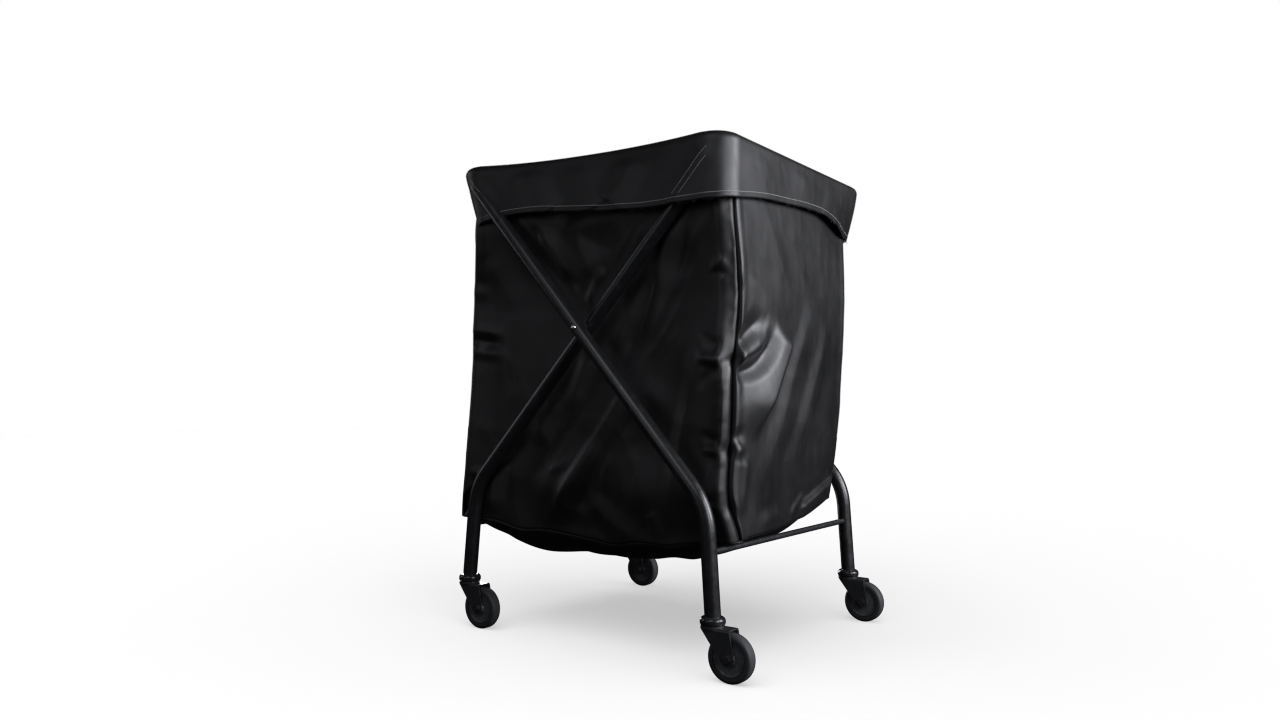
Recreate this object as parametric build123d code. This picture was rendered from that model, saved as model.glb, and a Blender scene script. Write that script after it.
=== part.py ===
"""Folding laundry cart: two bent-tube frames that cross like scissors, four swivel casters and a hung bag.

Millimetres. X runs left to right across the scissors, Y runs front to back, Z is up.
The origin is on the floor, under the line through the two pivot rivets.
"""

from build123d import *
import math
import os

# ---- Frame tubes: two alike U-shaped bends, set front to back of each other by one tube and a washer ----
TUBE_OD = 25.4
TUBE_WALL = 1.5
LEG_FOOT_X = 276.5
LEG_BEND_X = 263.0
LEG_BEND_Z = 266.0
LEG_BEND_RADIUS = 115.0
PIVOT_Z = 555.5
RAIL_X = 272.0
RAIL_CORNER_RADIUS = 40.0
FRAME_OUTER_Y = 278.0
FRAME_STAGGER = 27.4

# ---- Cross rods between each frame's two legs ----
ROD_DIAMETER = 9.5
ROD_Z = 194.0
ROD_INSERTION = 7.0
FIT_CLEARANCE = 0.1
LEG_OVERRUN = 10.0

# ---- Pivot rivets and washers ----
RIVET_DIAMETER = 6.35
RIVET_HEAD_DIAMETER = 10.0
RIVET_HEAD_HEIGHT = 3.2
RIVET_TAIL_DIAMETER = 9.0
RIVET_TAIL_HEIGHT = 2.2
RIVET_CLEARANCE = 0.08
SLIDING_GAP = 0.3
WASHER_DIAMETER = 19.0

# ---- Casters: 3 inch wheel in a pressed fork, on a stem that a socket holds in the leg ----
WHEEL_DIAMETER = 76.2
WHEEL_WIDTH = 21.0
TYRE_SHOULDER_RADIUS = 6.0
TYRE_GROOVE = 1.0
HUB_RADIUS = 27.0
HUB_RIM_WIDTH = 18.8
HUB_RIM_INNER_RADIUS = 24.4
HUB_WEB_WIDTH = 15.6
HUB_BOSS_RADIUS = 9.0
HUB_BOSS_WIDTH = 23.6
HUB_BOSS_DRAFT = 1.6
HUB_RIM_DRAFT = 0.9
CASTER_TRAIL = 34.0
FORK_INSIDE_WIDTH = 24.6
FORK_STEEL = 2.4
FORK_CROWN_Z = 82.4
FORK_FRONT = 15.0
FORK_REAR = 37.0
FORK_EYE_RADIUS = 11.0
FORK_CORNER_RADIUS = 4.0
RACE_RADIUS = 18.5
RACE_TOP_Z = 84.6
COLLAR_BOTTOM_Z = 85.0
COLLAR_TOP_Z = 97.0
COLLAR_RADIUS = 20.0
BALL_RADIUS = 2.4
BALL_TRACK_RADIUS = 13.5
BALL_CENTRE_Z = 85.6
BALL_COUNT = 14
STEM_DIAMETER = 11.0
STEM_TOP_Z = 134.0
STEM_CHAMFER = 1.5
KINGPIN_DIAMETER = 8.0
KINGPIN_HEAD_RADIUS = 7.0
KINGPIN_HEAD_HEIGHT = 2.6
SOCKET_TOP_Z = 139.0
BOLT_DIAMETER = 6.35
BOLT_HEAD_FLATS = 11.1
BOLT_HEAD_HEIGHT = 4.3
NUT_HEIGHT = 5.6
BUSHING_DIAMETER = 9.5
BUSHING_BORE = 6.55
BUSHING_PLAY = 0.07
CUTTER_REACH = 150.0
CUT_OVERLAP = 1.0

# ---- Bag: five sewn panels, a fold over the rails and a cuff that hangs outside the frames ----
CLOTH = 2.4
BAG_HALF_X = 285.0
BAG_HALF_Y = 232.0
BAG_EDGE_Z = 204.0
BAG_FRONT_DIP_Z = 178.0
BAG_LEDGE = 33.0
BAG_SAG_Z = 150.0
BAG_SAG_HALF_X = 185.0
BAG_SAG_HALF_Y = 165.0
NECK_LOW_Z = 796.0
NECK_HIGH_Z = 838.0
NECK_GAP = 1.0
RIM_Z = 868.0
CUFF_DROP = 110.0
CUFF_SIDE_GAP = 3.0
CUFF_END_GAP = 6.0
PANEL_CLEARANCE = 1.0
CUFF_CORNER_RADIUS = 48.0

# ---- Worked out from the above ----
tube_radius = TUBE_OD / 2
bore_radius = tube_radius - TUBE_WALL
frame_inner_y = FRAME_OUTER_Y - FRAME_STAGGER
bar_slope = (PIVOT_Z - LEG_BEND_Z) / LEG_BEND_X
rail_z = PIVOT_Z + RAIL_X * bar_slope
leg_lean = (LEG_FOOT_X - LEG_BEND_X) / (LEG_BEND_Z - COLLAR_TOP_Z)
wheel_radius = WHEEL_DIAMETER / 2

RIGHT = 1
LEFT = -1
FRAME_SPAN = {RIGHT: (-FRAME_OUTER_Y, frame_inner_y), LEFT: (-frame_inner_y, FRAME_OUTER_Y)}
SIDE_NAME = {RIGHT: "right", LEFT: "left"}
END_NAME = ("front", "back")


def leg_x(z):
    """Distance of the leg's centreline from the middle, at height z below the bend."""
    return LEG_FOOT_X - (z - COLLAR_TOP_Z) * leg_lean


def y_cylinder(radius, x, z, y_low, y_high):
    """A cylinder along Y between two depths."""
    mid = (y_low + y_high) / 2
    return Pos(x, mid, z) * Rot(90, 0, 0) * Cylinder(radius, y_high - y_low)


def z_cylinder(radius, x, y, z_low, z_high):
    """A cylinder along Z between two heights."""
    return Pos(x, y, (z_low + z_high) / 2) * Cylinder(radius, z_high - z_low)


def turned(points):
    """A solid turned about Z from a closed outline of (radius, height) points."""
    outline = make_face(Polyline(*[(r, 0, z) for r, z in points], close=True))
    return revolve(outline, Axis.Z)


# ---------------------------------------------------------------- frames

def frame_centreline(side, extra):
    """Foot, leg bend, long bar, rail and back down again. Extra lengthens both legs below the collar."""
    y_front, y_back = FRAME_SPAN[side]
    foot_z = COLLAR_TOP_Z - extra
    foot = side * leg_x(foot_z)
    points = [
        (foot, y_front, foot_z),
        (side * LEG_BEND_X, y_front, LEG_BEND_Z),
        (-side * RAIL_X, y_front, rail_z),
        (-side * RAIL_X, y_back, rail_z),
        (side * LEG_BEND_X, y_back, LEG_BEND_Z),
        (foot, y_back, foot_z),
    ]
    radii = [LEG_BEND_RADIUS, RAIL_CORNER_RADIUS, RAIL_CORNER_RADIUS, LEG_BEND_RADIUS]
    return FilletPolyline(*points, radius=radii)


def swept_round(path, radius):
    """A round bar of the given radius along a path."""
    start = Plane(origin=path @ 0, z_dir=path % 0)
    return sweep(start * Circle(radius), path=path)


def frame_tube(side):
    """One bent tube, cut level at the feet, with holes for the rivets and the cross rod."""
    path = frame_centreline(side, LEG_OVERRUN)
    tube = swept_round(path, tube_radius) - swept_round(path, bore_radius)
    reach = 2 * (FRAME_OUTER_Y + TUBE_OD)
    stub_height = 2 * TUBE_OD
    tube -= Pos(0, 0, COLLAR_TOP_Z - stub_height / 2) * Box(reach, reach, stub_height)
    y_front, y_back = FRAME_SPAN[side]
    for y in (y_front, y_back):
        hole = RIVET_DIAMETER / 2 + RIVET_CLEARANCE
        tube -= y_cylinder(hole, 0, PIVOT_Z, y - TUBE_OD, y + TUBE_OD)
    rod_hole = ROD_DIAMETER / 2 + FIT_CLEARANCE
    tube -= y_cylinder(rod_hole, side * leg_x(ROD_Z), ROD_Z, y_front, y_back)
    return tube


def cross_rod(side):
    """A plain rod whose ends stand inside the two legs."""
    y_front, y_back = FRAME_SPAN[side]
    reach = bore_radius - ROD_INSERTION + TUBE_WALL
    x = side * leg_x(ROD_Z)
    return y_cylinder(ROD_DIAMETER / 2, x, ROD_Z, y_front + reach, y_back - reach)


def pivot_rivet(end):
    """A domed rivet through both bars, its factory head outside and its set tail inside."""
    head_seat = FRAME_OUTER_Y + tube_radius + SLIDING_GAP
    tail_seat = frame_inner_y - tube_radius - SLIDING_GAP
    head_radius = RIVET_HEAD_DIAMETER / 2
    dome_radius = (head_radius**2 + RIVET_HEAD_HEIGHT**2) / (2 * RIVET_HEAD_HEIGHT)
    dome = Pos(0, 0, head_seat + RIVET_HEAD_HEIGHT - dome_radius) * Sphere(dome_radius)
    head = dome & z_cylinder(head_radius, 0, 0, head_seat, head_seat + RIVET_HEAD_HEIGHT)
    shank = z_cylinder(RIVET_DIAMETER / 2, 0, 0, tail_seat, head_seat)
    tail = z_cylinder(RIVET_TAIL_DIAMETER / 2, 0, 0, tail_seat - RIVET_TAIL_HEIGHT, tail_seat)
    rivet = head + shank + tail
    turn = 90 if end == "front" else -90
    return Pos(0, 0, PIVOT_Z) * Rot(turn, 0, 0) * rivet


def pivot_washer(end):
    """The slip washer between the two bars."""
    low = frame_inner_y + tube_radius + SLIDING_GAP
    high = FRAME_OUTER_Y - tube_radius - SLIDING_GAP
    ring = z_cylinder(WASHER_DIAMETER / 2, 0, 0, low, high)
    ring -= z_cylinder(RIVET_DIAMETER / 2 + RIVET_CLEARANCE, 0, 0, low - CUT_OVERLAP, high + CUT_OVERLAP)
    turn = 90 if end == "front" else -90
    return Pos(0, 0, PIVOT_Z) * Rot(turn, 0, 0) * ring


# ---------------------------------------------------------------- casters (made with the stem on the Z axis)

def ball_track():
    """The ring-shaped space that the balls run in."""
    return Pos(0, 0, BALL_CENTRE_Z) * Torus(BALL_TRACK_RADIUS, BALL_RADIUS + SLIDING_GAP)


def stem_socket(side):
    """A tube insert that leans with the leg, bored upright for the stem."""
    lean_angle = -side * math.degrees(math.atan(leg_lean))
    plug = Rot(0, lean_angle, 0) * Cylinder(bore_radius - FIT_CLEARANCE, 2 * CUTTER_REACH)
    middle = (COLLAR_TOP_Z + SOCKET_TOP_Z) / 2
    slab = Pos(0, 0, middle - COLLAR_TOP_Z) * Box(CUTTER_REACH, CUTTER_REACH, SOCKET_TOP_Z - COLLAR_TOP_Z)
    socket = Pos(0, 0, COLLAR_TOP_Z) * (plug & slab)
    return socket - z_cylinder(STEM_DIAMETER / 2 + FIT_CLEARANCE, 0, 0, 0, STEM_TOP_Z + CUT_OVERLAP)


def caster_stem():
    """The stem, its thinner kingpin through the fork and the pin's riveted head."""
    head_top = FORK_CROWN_Z - FORK_STEEL - SLIDING_GAP
    shoulder = COLLAR_BOTTOM_Z + CUT_OVERLAP
    stem = z_cylinder(STEM_DIAMETER / 2, 0, 0, shoulder, STEM_TOP_Z)
    stem = chamfer(stem.edges().sort_by(Axis.Z)[-1], STEM_CHAMFER)
    pin = z_cylinder(KINGPIN_DIAMETER / 2, 0, 0, head_top, shoulder)
    head = z_cylinder(KINGPIN_HEAD_RADIUS, 0, 0, head_top - KINGPIN_HEAD_HEIGHT, head_top)
    return stem + pin + head


def caster_collar():
    """The round raceway cap under the leg, grooved below for the balls."""
    height = COLLAR_TOP_Z - COLLAR_BOTTOM_Z
    collar = z_cylinder(COLLAR_RADIUS, 0, 0, COLLAR_BOTTOM_Z, COLLAR_TOP_Z)
    rims = collar.edges().filter_by(GeomType.CIRCLE).sort_by(Axis.Z)
    collar = fillet(rims[-1], height * 0.5)
    low_rim = collar.edges().filter_by(GeomType.CIRCLE).sort_by(Axis.Z)[0]
    collar = fillet(low_rim, height * 0.25)
    collar -= z_cylinder(STEM_DIAMETER / 2 + FIT_CLEARANCE, 0, 0, 0, STEM_TOP_Z)
    return collar - ball_track()


def swivel_balls():
    """The loose bearing balls, as separate solids."""
    balls = []
    for i in range(BALL_COUNT):
        angle = 2 * math.pi * i / BALL_COUNT
        x = BALL_TRACK_RADIUS * math.cos(angle)
        y = BALL_TRACK_RADIUS * math.sin(angle)
        balls.append(Pos(x, y, BALL_CENTRE_Z) * Sphere(BALL_RADIUS))
    return Compound(children=balls)


def caster_fork():
    """A channel of pressed steel, cut to a raked side outline, with a raised ball race on its crown."""
    outer_half = FORK_INSIDE_WIDTH / 2 + FORK_STEEL
    outer_rect = Rectangle(2 * outer_half, FORK_CROWN_Z)
    inner_rect = Rectangle(FORK_INSIDE_WIDTH, FORK_CROWN_Z)
    outer_rect = fillet(outer_rect.vertices().group_by(Axis.Y)[-1], FORK_CORNER_RADIUS)
    inner_rect = fillet(inner_rect.vertices().group_by(Axis.Y)[-1], FORK_CORNER_RADIUS - FORK_STEEL)
    section = outer_rect - Pos(0, -FORK_STEEL) * inner_rect
    channel = extrude(Plane.YZ * (Pos(0, FORK_CROWN_Z / 2) * section), CUTTER_REACH, both=True)
    eye = Pos(CASTER_TRAIL, wheel_radius) * Circle(FORK_EYE_RADIUS)
    top_edge = Line((-FORK_FRONT, FORK_CROWN_Z), (FORK_REAR, FORK_CROWN_Z))
    outline = make_hull([*eye.edges(), top_edge])
    fork = channel & extrude(Plane.XZ * outline, CUTTER_REACH, both=True)
    fork += z_cylinder(RACE_RADIUS, 0, 0, FORK_CROWN_Z - FORK_STEEL, RACE_TOP_Z)
    fork -= ball_track()
    fork -= z_cylinder(KINGPIN_DIAMETER / 2 + FIT_CLEARANCE, 0, 0, 0, 2 * RACE_TOP_Z)
    eye_bore = BOLT_DIAMETER / 2 + FIT_CLEARANCE
    return fork - y_cylinder(eye_bore, CASTER_TRAIL, wheel_radius, -CUTTER_REACH, CUTTER_REACH)


def hexagon_prism(flats, y_low, y_high):
    """A hexagonal prism round the axle line."""
    outline = RegularPolygon(flats / 2, 6, major_radius=False)
    prism = extrude(outline, y_high - y_low)
    return Pos(CASTER_TRAIL, y_high, wheel_radius) * Rot(90, 0, 0) * prism


def axle_bolt():
    """A hex-head bolt from the front, through fork and bushing, to the nut."""
    outer_half = FORK_INSIDE_WIDTH / 2 + FORK_STEEL
    end = outer_half + NUT_HEIGHT + CUT_OVERLAP
    head = hexagon_prism(BOLT_HEAD_FLATS, -outer_half - BOLT_HEAD_HEIGHT, -outer_half)
    shank = y_cylinder(BOLT_DIAMETER / 2, CASTER_TRAIL, wheel_radius, -outer_half - CUT_OVERLAP, end)
    return head + shank


def axle_nut():
    """The nut on the bolt's far end."""
    outer_half = FORK_INSIDE_WIDTH / 2 + FORK_STEEL
    nut = hexagon_prism(BOLT_HEAD_FLATS, outer_half, outer_half + NUT_HEIGHT)
    hole = BOLT_DIAMETER / 2 + FIT_CLEARANCE / 2
    return nut - y_cylinder(hole, CASTER_TRAIL, wheel_radius, 0, CUTTER_REACH)


def axle_bushing():
    """The steel sleeve that the fork clamps and the hub turns on."""
    half = FORK_INSIDE_WIDTH / 2
    sleeve = y_cylinder(BUSHING_DIAMETER / 2, CASTER_TRAIL, wheel_radius, -half, half)
    return sleeve - y_cylinder(BUSHING_BORE / 2, CASTER_TRAIL, wheel_radius, -CUTTER_REACH, CUTTER_REACH)


def at_axle(solid):
    """Lays a turned piece on the axle line."""
    return Pos(CASTER_TRAIL, 0, wheel_radius) * Rot(90, 0, 0) * solid


def wheel_hub():
    """The moulded core: boss, web and the rim that the tyre sits on."""
    bore = BUSHING_DIAMETER / 2 + BUSHING_PLAY
    upper = [
        (bore, HUB_BOSS_WIDTH / 2),
        (HUB_BOSS_RADIUS, HUB_BOSS_WIDTH / 2),
        (HUB_BOSS_RADIUS + HUB_BOSS_DRAFT, HUB_WEB_WIDTH / 2),
        (HUB_RIM_INNER_RADIUS, HUB_WEB_WIDTH / 2),
        (HUB_RIM_INNER_RADIUS + HUB_RIM_DRAFT, HUB_RIM_WIDTH / 2),
        (HUB_RADIUS, HUB_RIM_WIDTH / 2),
    ]
    lower = [(r, -z) for r, z in reversed(upper)]
    return at_axle(turned(upper + lower))


def wheel_tyre():
    """The solid tyre, with round shoulders and a narrow groove where it meets the core."""
    inner = HUB_RADIUS + FIT_CLEARANCE / 2
    half = WHEEL_WIDTH / 2
    upper = [(inner, HUB_RIM_WIDTH / 2 - TYRE_GROOVE), (inner + TYRE_GROOVE, half), (wheel_radius, half)]
    lower = [(r, -z) for r, z in reversed(upper)]
    tyre = turned(upper + lower)
    shoulders = [e for e in tyre.edges().filter_by(GeomType.CIRCLE) if abs(e.radius - wheel_radius) < 0.01]
    return at_axle(fillet(shoulders, TYRE_SHOULDER_RADIUS))


# ---------------------------------------------------------------- bag

def clear_of_frames(panel):
    """A panel with a relief where a frame's rail corner passes it."""
    for side in (RIGHT, LEFT):
        panel -= swept_round(frame_centreline(side, 0), tube_radius + PANEL_CLEARANCE)
    return panel


def bag_end_panel(end):
    """The front or back panel: flat, with a lower edge that dips between the cross rods."""
    ledge_x = BAG_HALF_X - BAG_LEDGE
    inner_x = BAG_HALF_X - CLOTH
    neck_x = RAIL_X - tube_radius - NECK_GAP - CLOTH
    outline = [
        Line((ledge_x, BAG_EDGE_Z), (inner_x, BAG_EDGE_Z)),
        Line((inner_x, BAG_EDGE_Z), (inner_x, NECK_LOW_Z)),
        Line((inner_x, NECK_LOW_Z), (neck_x, NECK_HIGH_Z)),
        Line((neck_x, NECK_HIGH_Z), (neck_x, RIM_Z)),
        Line((neck_x, RIM_Z), (-neck_x, RIM_Z)),
        Line((-neck_x, RIM_Z), (-neck_x, NECK_HIGH_Z)),
        Line((-neck_x, NECK_HIGH_Z), (-inner_x, NECK_LOW_Z)),
        Line((-inner_x, NECK_LOW_Z), (-inner_x, BAG_EDGE_Z)),
        Line((-inner_x, BAG_EDGE_Z), (-ledge_x, BAG_EDGE_Z)),
        ThreePointArc((-ledge_x, BAG_EDGE_Z), (0, BAG_FRONT_DIP_Z), (ledge_x, BAG_EDGE_Z)),
    ]
    panel = extrude(Plane.XZ * make_face(outline), CLOTH)
    y = -BAG_HALF_Y + CLOTH if end == "front" else BAG_HALF_Y
    return clear_of_frames(Pos(0, y, 0) * panel)


def bag_side_panel(side):
    """A side panel: upright, then drawn in below the rail and up behind it."""
    neck_x = RAIL_X - tube_radius - NECK_GAP
    outer = [(BAG_HALF_X, BAG_EDGE_Z), (BAG_HALF_X, NECK_LOW_Z), (neck_x, NECK_HIGH_Z), (neck_x, RIM_Z)]
    inner = [(x - CLOTH, z) for x, z in reversed(outer)]
    outline = make_face(Polyline(*outer, *inner, close=True))
    panel = Pos(0, BAG_HALF_Y, 0) * extrude(Plane.XZ * outline, 2 * BAG_HALF_Y)
    return clear_of_frames(panel if side == RIGHT else mirror(panel, Plane.YZ))


def sag_prism(shrink, lift):
    """The dish under the bag: a block that narrows downwards."""
    top = Plane.XY.offset(BAG_EDGE_Z) * Rectangle(
        2 * (BAG_HALF_X - BAG_LEDGE - shrink), 2 * (BAG_HALF_Y - CLOTH - shrink)
    )
    foot = Plane.XY.offset(BAG_SAG_Z + lift) * Rectangle(
        2 * (BAG_SAG_HALF_X - shrink), 2 * (BAG_SAG_HALF_Y - shrink)
    )
    return loft([foot, top])


def bag_bottom_panel():
    """The bottom: a flat ledge over each cross rod and a dish that sags between them."""
    half_x = BAG_HALF_X - CLOTH
    half_y = BAG_HALF_Y - CLOTH
    ledge = Pos(0, 0, BAG_EDGE_Z + CLOTH / 2) * Box(2 * half_x, 2 * half_y, CLOTH)
    mouth = Pos(0, 0, BAG_EDGE_Z + CLOTH / 2) * Box(
        2 * (BAG_HALF_X - BAG_LEDGE - CLOTH), 2 * (half_y - CLOTH), 2 * CLOTH
    )
    return (ledge - mouth) + (sag_prism(0, 0) - sag_prism(CLOTH, CLOTH))


def rim_outline(inset):
    """The mouth seen from above. Each end slants, because the two frames stand staggered."""
    far = FRAME_OUTER_Y + tube_radius + CUFF_END_GAP + CLOTH - inset
    near = frame_inner_y + tube_radius + CUFF_END_GAP + CLOTH - inset
    half_x = RAIL_X + tube_radius + CUFF_SIDE_GAP + CLOTH - inset
    corners = [(-half_x, -far), (half_x, -near), (half_x, far), (-half_x, near)]
    return make_face(FilletPolyline(*corners, radius=CUFF_CORNER_RADIUS - inset, close=True))


def bag_rim_fold():
    """The top of the bag, turned outwards over both rails."""
    neck_x = RAIL_X - tube_radius - NECK_GAP - CLOTH
    mouth = Rectangle(2 * neck_x, 2 * (BAG_HALF_Y - CLOTH))
    return Pos(0, 0, RIM_Z) * extrude(rim_outline(0) - mouth, CLOTH)


def bag_cuff():
    """The band that hangs from the fold, outside rails and bars."""
    return Pos(0, 0, RIM_Z - CUFF_DROP) * extrude(rim_outline(0) - rim_outline(CLOTH), CUFF_DROP)


# ---------------------------------------------------------------- all nodes

def all_nodes():
    """Every piece of the cart, by name."""
    nodes = {}
    for side in (RIGHT, LEFT):
        nodes[SIDE_NAME[side] + "_frame_tube"] = frame_tube(side)
        nodes[SIDE_NAME[side] + "_cross_rod"] = cross_rod(side)
    for end in END_NAME:
        nodes["pivot_rivet_" + end] = pivot_rivet(end)
        nodes["pivot_washer_" + end] = pivot_washer(end)
    for side in (RIGHT, LEFT):
        pieces = {
            "stem_socket": stem_socket(side),
            "caster_stem": caster_stem(),
            "caster_collar": caster_collar(),
            "swivel_balls": swivel_balls(),
            "caster_fork": caster_fork(),
            "axle_bolt": axle_bolt(),
            "axle_nut": axle_nut(),
            "axle_bushing": axle_bushing(),
            "wheel_hub": wheel_hub(),
            "wheel_tyre": wheel_tyre(),
        }
        for end, y in zip(END_NAME, FRAME_SPAN[side]):
            for piece, solid in pieces.items():
                nodes[f"{SIDE_NAME[side]}_{end}_{piece}"] = Pos(side * LEG_FOOT_X, y, 0) * solid
    for end in END_NAME:
        nodes[f"bag_{end}_panel"] = bag_end_panel(end)
    for side in (RIGHT, LEFT):
        nodes[f"bag_{SIDE_NAME[side]}_panel"] = bag_side_panel(side)
    nodes["bag_bottom_panel"] = bag_bottom_panel()
    nodes["bag_rim_fold"] = bag_rim_fold()
    nodes["bag_cuff"] = bag_cuff()
    return nodes


os.makedirs("parts", exist_ok=True)
for name, solid in all_nodes().items():
    export_step(solid, f"parts/{name}.step")
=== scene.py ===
"""Looks for the folding laundry cart: a black coated-cloth bag in a scissor frame of tube, on four casters.

Metres, in the frame's own axes: X across the scissors, Y from front (-) to back (+), Z up from the floor.
"""

import math

import bpy
import numpy as np
from mathutils import Matrix, Vector


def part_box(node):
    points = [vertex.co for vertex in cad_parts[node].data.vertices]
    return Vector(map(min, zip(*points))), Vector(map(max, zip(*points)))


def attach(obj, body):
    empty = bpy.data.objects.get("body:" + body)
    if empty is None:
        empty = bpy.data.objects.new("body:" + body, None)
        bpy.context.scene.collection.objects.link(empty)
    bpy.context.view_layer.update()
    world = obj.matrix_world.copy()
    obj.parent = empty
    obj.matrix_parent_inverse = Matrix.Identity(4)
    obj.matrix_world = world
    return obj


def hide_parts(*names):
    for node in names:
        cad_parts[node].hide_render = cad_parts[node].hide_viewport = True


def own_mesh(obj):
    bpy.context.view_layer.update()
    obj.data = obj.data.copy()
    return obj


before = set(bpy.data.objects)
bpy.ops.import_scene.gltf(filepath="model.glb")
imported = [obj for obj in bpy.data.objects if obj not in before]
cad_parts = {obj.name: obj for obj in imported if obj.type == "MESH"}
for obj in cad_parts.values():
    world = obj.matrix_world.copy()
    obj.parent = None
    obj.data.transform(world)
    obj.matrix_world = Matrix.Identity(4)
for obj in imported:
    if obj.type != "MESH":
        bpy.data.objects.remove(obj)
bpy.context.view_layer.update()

# -------------------- measures read from the frame

MM = 0.001
MM_PER_METRE = 1000
TUBE_RADIUS = 12.7 * MM
right_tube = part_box("right_frame_tube")
left_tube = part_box("left_frame_tube")
RAIL_X = left_tube[1].x - TUBE_RADIUS
RAIL_Z = left_tube[1].z - TUBE_RADIUS
OUTER_Y = -right_tube[0].y - TUBE_RADIUS
INNER_Y = right_tube[1].y - TUBE_RADIUS
PIVOT_Z = sum(corner.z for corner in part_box("pivot_rivet_front")) / 2
BAR_SLOPE = (RAIL_Z - PIVOT_Z) / RAIL_X
BAG_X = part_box("bag_right_panel")[1].x
BAG_Y = -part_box("bag_front_panel")[0].y
BOTTOM_LOW_Z, BOTTOM_EDGE_Z = (corner.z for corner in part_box("bag_bottom_panel"))
RIM_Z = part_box("bag_rim_fold")[0].z
CUFF_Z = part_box("bag_cuff")[0].z
CUFF_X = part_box("bag_cuff")[1].x
CUFF_FAR_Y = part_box("bag_cuff")[1].y
CUFF_NEAR_Y = CUFF_FAR_Y - (OUTER_Y - INNER_Y)
NECK_X = RAIL_X - TUBE_RADIUS - 1.4 * MM
cross_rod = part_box("right_cross_rod")
ROD_RADIUS = 4.75 * MM
ROD_X = cross_rod[1].x - ROD_RADIUS
ROD_TOP_Z = (cross_rod[0].z + cross_rod[1].z) / 2 + ROD_RADIUS

# The cloth's own measures, and how near it comes to the bars and rods.
CLOTH = 0.9 * MM
HALF_CLOTH = CLOTH / 2
GRID = 4 * MM
WALL_TOP_Z = RIM_Z - 6 * MM
NECK_HEIGHT = 70 * MM
EDGE_FADE = 0.012
PUCKER_REACH = 17 * MM
BAR_CLEARANCE = 1.6 * MM
ROD_CLEARANCE = 0.85 * MM
ROD_REACH = 8 * MM
BOTTOM_SAG = BOTTOM_EDGE_Z - BOTTOM_LOW_Z - 6 * MM
SAG_START = 60 * MM

# -------------------- small tools for shapes


def smooth(t):
    """An even step from 0 to 1."""
    t = np.clip(t, 0, 1)
    return t * t * (3 - 2 * t)


def curve(points):
    """A smooth function through (position, value) points, level past both ends."""
    at = np.array([p[0] for p in points], float)
    value = np.array([p[1] for p in points], float)
    slope = np.gradient(value, at)

    def through(t):
        t = np.clip(t, at[0], at[-1])
        i = np.clip(np.searchsorted(at, t) - 1, 0, len(at) - 2)
        h = at[i + 1] - at[i]
        u = (t - at[i]) / h
        start = (2 * u**3 - 3 * u**2 + 1) * value[i] + (u**3 - 2 * u**2 + u) * h * slope[i]
        end = (3 * u**2 - 2 * u**3) * value[i + 1] + (u**3 - u**2) * h * slope[i + 1]
        return start + end

    return through


def curve_mm(points):
    """curve() through points given in millimetres."""
    return curve([(at * MM, value * MM) for at, value in points])


def path_through(points, steps=10):
    """A smooth line of many points through a few."""
    points = np.array(points, float)
    if len(points) == 2:
        points = np.linspace(points[0], points[1], 3)
    at = np.arange(len(points))
    fine = np.linspace(0, len(points) - 1, steps * (len(points) - 1) + 1)
    columns = [curve(list(zip(at, points[:, k])))(fine) for k in range(points.shape[1])]
    return np.stack(columns, axis=1)


def ripple(a, b, cell, seed):
    """Smooth seeded noise from -1 to 1 over a sheet, with lumps about cell across."""
    size = 97
    lattice = np.random.default_rng(seed).uniform(-1, 1, (size, size))
    x, y = a / cell + size, b / cell + size
    i, j = np.floor(x).astype(int), np.floor(y).astype(int)
    u, v = smooth(x - i), smooth(y - j)
    i0, i1, j0, j1 = i % size, (i + 1) % size, j % size, (j + 1) % size
    low = lattice[i0, j0] * (1 - u) + lattice[i1, j0] * u
    high = lattice[i0, j1] * (1 - u) + lattice[i1, j1] * u
    return low * (1 - v) + high * v


def fold(a, b, points, height, width, other=None, spread=1.0, *, ends):
    """A ridge, or with a negative height a valley, along a smooth path on a sheet. It reaches width to the
    path's left and other to its right, and spread times as far at its end. It tapers over the shares ends."""
    line = path_through(points)
    start, step = line[:-1], np.diff(line, axis=0)
    length = np.linalg.norm(step, axis=1)
    passed = np.concatenate([[0], np.cumsum(length)])
    best = np.full(a.shape, np.inf)
    signed, share = np.zeros(a.shape), np.zeros(a.shape)
    for k in range(len(step)):
        da, db = a - start[k, 0], b - start[k, 1]
        t = np.clip((da * step[k, 0] + db * step[k, 1]) / length[k] ** 2, 0, 1)
        off_a, off_b = da - t * step[k, 0], db - t * step[k, 1]
        distance = np.hypot(off_a, off_b)
        side = np.sign(step[k, 0] * db - step[k, 1] * da)
        nearer = distance < best
        best = np.where(nearer, distance, best)
        signed = np.where(nearer, distance * side, signed)
        share = np.where(nearer, (passed[k] + t * length[k]) / passed[-1], share)
    reach = np.where(signed > 0, width, other or width) * (1 + (spread - 1) * share)
    taper = smooth(share / ends[0]) * smooth((1 - share) / ends[1])
    near = np.clip(1 - np.abs(signed) / (1.7 * reach), 0, 1)
    return height * taper * (0.55 * near + 0.45 * smooth(near))


def folds(across, up, groups):
    """A wall's folds added up, for places on it in metres. Each group holds its folds' ends and their rows:
    a path in millimetres, a height, a reach, and where needed the other reach and the spread."""
    a, b = across * MM_PER_METRE, up * MM_PER_METRE
    total = np.zeros(a.shape)
    for ends, rows in groups:
        for row in rows:
            total += fold(a, b, *row, ends=ends)
    return total * MM


def scene_object(name, data):
    """A new object in the scene."""
    made = bpy.data.objects.new(name, data)
    bpy.context.scene.collection.objects.link(made)
    return made


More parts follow.
